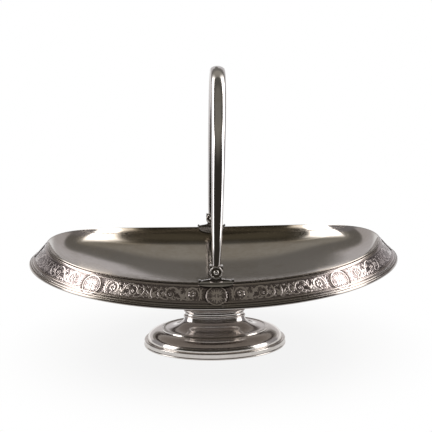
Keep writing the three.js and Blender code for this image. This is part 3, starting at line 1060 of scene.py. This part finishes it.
def makeRivet():
    form = hinge
    start, radius, rise = form["headStart"], form["headRadius"], form["headHeight"]
    # a dimple in a dome, then down the shank
    half = [(0, start + 0.66 * rise), (0.35 * mm, start + 0.7 * rise), (0.6 * mm, start + 0.86 * rise)]
    half += [(radius * sin(radians(t)), start + rise * cos(radians(t))) for t in range(22, 91, 7)]
    half += [(form["pinRadius"], start), (form["pinRadius"], 0)]
    piece = drawSection("rivetFront", half + [(x, -z) for x, z in half[-2::-1]])
    spinSection(piece, 48, weld=0.004 * mm)
    piece.data.transform(Matrix.Rotation(pi / 2, 4, "X"))
    faceOutwards(piece)
    smoothOver(toFrontHinge(piece), 35)
    return piece


saddle = {
    "halfLength": 11.3 * mm,
    "sheet": 1.0 * mm,
    "rounding": 0.3 * mm,
    "gap": 0.06 * mm,
    "outerLap": 2.1 * mm,
    "innerLap": 3.4 * mm,
    "tipShare": 0.35,
    "squareness": (2.6, 0.8),  # of its ends, seen from above
    "curlRadius": 0.9 * mm,
    "curlHalf": 1.3 * mm,
    "curlRim": 0.3 * mm,
    "curlHollow": 0.5 * mm,
    "curlOut": 0.55 * mm,
    "curlUp": 1.2 * mm,
    "across": 14,
    "along": 41,
}


def saddlePath(angle, reach):
    # the way over the crest, from inside the lip to the border's face
    inner, outer, gap = saddle["innerLap"] * reach, saddle["outerLap"] * reach, saddle["gap"]
    x, y, _, outX, outY = crestAt(angle)
    radius = x * outX + y * outY
    path = [offDish(angle, 1 - inner * part / radius, gap) for part in (1, 0.8, 0.6, 0.4, 0.22, 0.08)]
    path += [besideCrest(angle, 0.1 * mm, gap + 0.05 * mm), besideCrest(angle, 0.5 * mm, gap - 0.1 * mm)]
    path += [placeOnBorder(angle, 1.15 * mm, 0.45 * mm + gap)]
    path += [placeOnBorder(angle, 1.8 * mm, 0.3 * mm + gap)]
    path += [placeOnBorder(angle, 2.3 * mm + outer * part, gap) for part in (0.1, 0.4, 0.7, 1)]
    return path


def saddleAngle(side):
    # round the crest from the front, at -1 and 1 for the two ends of the saddle
    return -pi / 2 + side * saddle["halfLength"] / crest["halfLength"]


def makeSaddle():
    # a grid laid along the crest and over it, then thickened and rounded at its edges
    across, along = saddle["across"], saddle["along"]
    deselectAll()
    bpy.ops.mesh.primitive_grid_add(x_subdivisions=along - 1, y_subdivisions=across - 1, size=2)
    piece = bpy.context.object
    piece.name = "bracketFront"
    full, blunt = saddle["squareness"]
    paths = []
    for step in range(along):
        side = 2 * step / (along - 1) - 1
        reach = saddle["tipShare"] + (1 - saddle["tipShare"]) * (1 - abs(side) ** full) ** blunt
        paths.append(saddlePath(saddleAngle(side), reach))
    for vertex in piece.data.vertices:
        step, row = round((vertex.co.x + 1) / 2 * (along - 1)), round((vertex.co.y + 1) / 2 * (across - 1))
        vertex.co = paths[step][across - 1 - row]
    faceOutwards(piece, (0, -pinReach, crest["height"] - 10 * mm))
    applyModifier(piece, "SOLIDIFY", {"thickness": saddle["sheet"], "offset": 1})
    roundEdges(piece, saddle["rounding"], 3, 50)
    return piece


def makeEar():
    # it stands on wings that sweep down to rolled tips
    form = hinge
    radius, half = form["earRadius"], form["earHalf"]
    right = [(radius * sin(radians(t)), radius * cos(radians(t))) for t in range(0, 91, 5)]
    right += inMm([(3.6, -2.2), (3.62, -4.0), (3.8, -4.75), (4.3, -5.1), (5.4, -5.42), (7.0, -5.72)])
    right += inMm([(9.0, -6.02), (10.8, -6.3), (11.2, -6.6), (10.6, -7.1), (5, -7.2), (0, -7.25)])
    outline = right + [(-x, z) for x, z in right[-2:0:-1]]
    ear = drawSection("ear", outline + outline[:1])
    editAll(ear)
    bpy.ops.mesh.remove_doubles(threshold=0.01 * mm)
    bpy.ops.mesh.edge_face_add()
    bpy.ops.transform.translate(value=(0, -half, 0))
    bpy.ops.mesh.extrude_region_move(TRANSFORM_OT_translate={"value": (0, 2 * half, 0)})
    faceOutwards(ear)
    joinShape(ear, addCylinder(form["bore"], 4 * form["forkHalf"], (0, 0, 0), 48), "DIFFERENCE")
    roundEdges(ear, form["earRounding"], 2, 50)
    return toFrontHinge(ear)


def makeCurl(side):
    # a short roll with hollow ends, at one end of the saddle
    tip = besideCrest(saddleAngle(side), saddle["curlOut"], saddle["curlUp"])
    roll = addCylinder(saddle["curlRadius"], 2 * saddle["curlHalf"], tip, 32)
    selectFaces(roll, lambda face: abs(face.normal.y) > 0.9)
    bpy.ops.mesh.inset(thickness=saddle["curlRim"], use_individual=True)
    bpy.ops.mesh.extrude_faces_move(TRANSFORM_OT_shrink_fatten={"value": -saddle["curlHollow"]})
    bpy.ops.mesh.select_mode(type="VERT")
    leaveEditing()
    return roll


def makeBracket():
    piece = makeSaddle()
    joinShape(piece, makeEar(), "UNION")
    for side in (-1, 1):
        joinShape(piece, makeCurl(side), "UNION")
    smoothOver(piece)
    return piece


forkFront = makeTerminal()
rivetFront = makeRivet()
bracketFront = makeBracket()
forkBack = turnedCopy(forkFront, "forkBack")
rivetBack = turnedCopy(rivetFront, "rivetBack")
bracketBack = turnedCopy(bracketFront, "bracketBack")
for piece in (handleTube, forkFront, forkBack):
    leanOver(piece)
print("hinges made:", len(bracketFront.data.polygons) + len(forkFront.data.polygons), "faces each")

dishSilver = makeSilver("dishSilver", {
    "clean": (0.5, 0.47, 0.445), "tarnish": (0.35, 0.3, 0.24), "patchShare": 0.6}, dishSection)
borderSilver = makeSilver("borderSilver", {
    "clean": (0.38, 0.335, 0.335), "roughness": 0.12, "patchShare": 0.6}, engravedSection)
reliefSilver = makeSilver("reliefSilver", {
    "clean": (0.57, 0.515, 0.515), "roughness": 0.16, "patchShare": 0.5}, engravedSection)
footSilver = makeSilver("footSilver", {
    "clean": (0.74, 0.71, 0.7), "roughness": 0.12, "patchShare": 0.75}, footSection)
edgeSilver = makeSilver("edgeSilver", {"clean": (0.4, 0.37, 0.36), "roughness": 0.12, "patchShare": 0.6})
handleSilver = makeSilver("handleSilver", {"waveHeight": 0.05 * mm})
hingeSilver = makeSilver("hingeSilver", {"clean": (0.66, 0.64, 0.63), "roughness": 0.11})
bracketSilver = makeSilver("bracketSilver", {
    "clean": (0.44, 0.43, 0.44), "roughness": 0.11, "patchShare": 0.4})
rivetSilver = makeSilver("rivetSilver", {"clean": (0.74, 0.72, 0.7)})

dress(dishShell, dishSilver, "basket", "dish_silver", "bowl_dish")
dress(borderStrip, borderSilver, "basket", "border_silver", "rim_border")
dress(edgeWire, edgeSilver, "basket", "edge_wire_silver", "border_edge_wire")
dress(footBody, footSilver, "basket", "foot_silver", "foot_body")
dress(footCollar, footSilver, "basket", "foot_silver", "foot_collar")
dress(baseWire, footSilver, "basket", "foot_silver", "foot_base_wire")
dress(handleTube, handleSilver, "handle", "handle_silver", "handle_tube")
dress(forkFront, hingeSilver, "handle", "hinge_silver", "handle_terminal_front")
dress(forkBack, hingeSilver, "handle", "hinge_silver", "handle_terminal_back")
dress(bracketFront, bracketSilver, "basket", "hinge_silver", "hinge_lug_front")
dress(bracketBack, bracketSilver, "basket", "hinge_silver", "hinge_lug_back")
dress(rivetFront, rivetSilver, "basket", "pin_silver", "hinge_pin_front")
dress(rivetBack, rivetSilver, "basket", "pin_silver", "hinge_pin_back")
for piece in scrollPanels + medallions:
    dress(piece, reliefSilver, "basket", "border_silver")
print("pieces dressed")

# studio: pale floor, a white wall behind in a dim room, and two soft lamps on each side
studio = {
    "floorPaint": (0.5, 0.495, 0.49),
    "floorFront": -0.2,
    "floorBack": 3.0,
    "floorHalfWidth": 3.0,
    "shadowShare": 0.88,  # of plain white in the floor near the foot
    "shadowReach": (0.08, 0.2),
    "mirrorReach": (0.0, 0.5),  # behind the foot, where metal sees the floor as white
    "mirrorShare": 0.62,  # the same in front of it
}

# each lamp runs from one place to another, given round from straight behind and then up, in degrees
lamps = {
    "side": {
        "low": (111, -4),
        "high": (109, 56),
        "distance": 1.0,
        "width": 0.46,
        "radiance": 3.0,
        "ends": (0.06, 0.14),  # shares of its length that it fades over
    },
    "back": {
        "low": (110, 38),
        "high": (16, 44),
        "distance": 1.2,
        "width": 0.42,
        "radiance": 4.6,
        "ends": (0.08, 0.35),
    },
}
lampSides = (0, 0.07)
lampColour = (1.0, 0.985, 0.97)

# the room as directions: heights are sines, and the way round is a cosine, 1 straight behind
room = {
    "wallTop": 0.36,
    "wallEdge": (-0.02, 0.02),
    "notchFoot": 0.208,  # the wall's white dips straight behind
    "notchSlope": 2.4,
    "shadeTop": (0.50, 0.58),
    "rail": (0.715, 0.73, 0.745, 0.76),
    "railAside": (0.15, 0.3),
    "duskTop": (0.735, 0.79),
    "sideEdge": (0.48, 0.66),
    "sideTop": (0.6, 0.75),
    "frontEdge": (-0.55, -0.3),
    "overheadEdge": (0.88, 0.97),
    "white": (1.0, 1.0, 1.0),
    "paleEdge": (0.04, 0.16),
    "pale": (0.63, 0.605, 0.61),
    "shade": (0.2, 0.19, 0.175),
    "dusk": (0.36, 0.34, 0.3),
    "railColour": (1.0, 0.95, 0.85),
    "upper": (0.12, 0.115, 0.1),
    "side": (0.28, 0.27, 0.28),
    "frontRise": (0.6, 0.96),
    "front": (0.038, 0.034, 0.028),
    "frontHigh": (0.28, 0.265, 0.22),
    "overhead": (0.22, 0.21, 0.18),
}


def makeFloor():
    deselectAll()
    front, back, half = studio["floorFront"], studio["floorBack"], studio["floorHalfWidth"]
    bpy.ops.mesh.primitive_plane_add(size=1, location=(0, (front + back) / 2, 0))
    floor = bpy.context.object
    floor.name = "floor"
    floor.scale = (2 * half, back - front, 1)
    bpy.ops.object.transform_apply(location=True, rotation=True, scale=True)
    material = bpy.data.materials.new("floorPaint")
    sheet = ShaderSheet(material)
    paint = sheet.add("ShaderNodeBsdfDiffuse", {}, {"Color": (*studio["floorPaint"], 1)})
    white = sheet.add("ShaderNodeEmission", {}, {"Color": (1, 1, 1, 1), "Strength": 1.0})
    place = sheet.onPiece()
    # white to the camera, a little less by the foot, and white to metal behind the foot
    away = sheet.add("ShaderNodeVectorMath", {"operation": "LENGTH"}, {0: place}, out=1)
    far = sheet.band(away, *studio["shadowReach"])
    behind = sheet.band(sheet.part(place, 1), *studio["mirrorReach"])
    seen, mirrored, passed = [sheet.add("ShaderNodeLightPath", out=i) for i in (0, 3, 6)]
    near = studio["mirrorShare"]
    share = seen * (far * (1 - studio["shadowShare"]) + studio["shadowShare"])
    share = share + (mirrored + passed).atMost(1) * (behind * (1 - near) + near)
    surface = sheet.add("ShaderNodeMixShader", {}, {0: share.atMost(1), 1: paint, 2: white})
    sheet.add("ShaderNodeOutputMaterial", {}, {"Surface": surface})
    floor.data.materials.append(material)


def makeRoom():
    world = bpy.data.worlds.new("room")
    bpy.context.scene.world = world
    sheet = ShaderSheet(world)
    way = sheet.add("ShaderNodeTexCoord", out=0)
    across, ahead, up = [sheet.part(way, axis) for axis in range(3)]
    level = (1 - up * up).atLeast(0.0001) ** 0.5
    ahead = ahead / level
    aside = (across * across) ** 0.5 / level
    pale = sheet.mixColour(sheet.band(up, *room["paleEdge"]), room["white"], room["pale"])
    top = (aside * room["notchSlope"] + room["notchFoot"]).atMost(room["wallTop"])
    wall = sheet.mixColour(sheet.band(up - top, *room["wallEdge"]), pale, room["shade"])
    wall = sheet.mixColour(sheet.band(up, *room["shadeTop"]), wall, room["dusk"])
    wall = sheet.mixColour(sheet.band(up, *room["duskTop"]), wall, room["upper"])
    low, lowFull, highFull, high = room["rail"]
    rail = sheet.band(up, low, lowFull) * (1 - sheet.band(up, highFull, high))
    rail = rail * sheet.band(aside, *room["railAside"])
    wall = sheet.mixColour(rail, wall, room["railColour"])
    side = sheet.mixColour(sheet.band(up, *room["sideTop"]), room["side"], room["upper"])
    around = sheet.mixColour(sheet.band(ahead, *room["sideEdge"]), side, wall)
    front = sheet.mixColour(sheet.band(up, *room["frontRise"]), room["front"], room["frontHigh"])
    around = sheet.mixColour(sheet.band(ahead, *room["frontEdge"]), front, around)
    around = sheet.mixColour(sheet.band(up, *room["overheadEdge"]), around, room["overhead"])
    # plain white to the camera
    around = sheet.mixColour(sheet.add("ShaderNodeLightPath"), around, room["white"])
    glow = sheet.add("ShaderNodeBackground", {}, {"Color": around, "Strength": 1.0})
    sheet.add("ShaderNodeOutputWorld", {}, {"Surface": glow})


def wayTo(round, up):
    round, up = radians(round), radians(up)
    return Vector((sin(round) * cos(up), cos(round) * cos(up), sin(up)))


def makeLamp(name, form, side):
    low, high = wayTo(*form["low"]), wayTo(*form["high"])
    low.x, high.x = side * low.x, side * high.x
    middle, along = (low + high).normalized(), (high - low).normalized()
    lampData = bpy.data.lights.new(name, "AREA")
    lampData.shape = "RECTANGLE"
    lampData.size = form["width"]
    lampData.size_y = 2 * form["distance"] * (high - low).length / (high + low).length
    lampData.energy = form["radiance"] * pi * lampData.size * lampData.size_y
    lamp = addObject(name, lampData)
    lamp.matrix_world = Matrix.Translation(middle * form["distance"]) @ Matrix(
        (along.cross(middle), along, middle)).transposed().to_4x4()
    # soft towards its edges
    sheet = ShaderSheet(lampData)
    spot = sheet.add("ShaderNodeNewGeometry", out=5)
    u, v = [sheet.part(spot, axis) for axis in range(2)]
    first, last = form["ends"]
    fade = sheet.band(u * (1 - u), *lampSides) * sheet.band(v, 0, first) * sheet.band(1 - v, 0, last)
    colour = sheet.mixColour(fade, (0.0, 0.0, 0.0), lampColour)
    glow = sheet.add("ShaderNodeEmission", {}, {"Color": colour, "Strength": 1.0})
    sheet.add("ShaderNodeOutputLight", {}, {"Surface": glow})


# camera: set by the outline of the oval, the foot and the handle
view = {
    "target": (2.4 * mm, 0, 108.2 * mm),
    "distance": 775 * mm,
    "elevation": 10.6,
    "yaw": -1.1,
    "roll": -0.8,
    "lens": 78.8,
    "sensor": 36,
    "clipEnd": 20,
}


def makeCamera():
    cameraData = bpy.data.cameras.new("view")
    cameraData.lens = view["lens"]
    cameraData.sensor_width = view["sensor"]
    cameraData.clip_end = view["clipEnd"]
    camera = addObject("view", cameraData)
    e, yaw, roll = radians(view["elevation"]), radians(view["yaw"]), radians(view["roll"])
    back = Vector((sin(yaw) * cos(e), -cos(yaw) * cos(e), sin(e)))
    flat = (-back).cross(Vector((0, 0, 1))).normalized()
    upright = flat.cross(-back)
    right = flat * cos(roll) + upright * sin(roll)
    up = upright * cos(roll) - flat * sin(roll)
    camera.matrix_world = Matrix.Translation(Vector(view["target"]) + back * view["distance"]) @ Matrix(
        (right, up, back)).transposed().to_4x4()
    bpy.context.scene.camera = camera


makeFloor()
makeRoom()
for side, word in ((-1, "Left"), (1, "Right")):
    makeLamp("sideLamp" + word, lamps["side"], side)
    makeLamp("backLamp" + word, lamps["back"], side)
makeCamera()
bpy.context.scene.view_settings.view_transform = "Standard"
print("studio set")
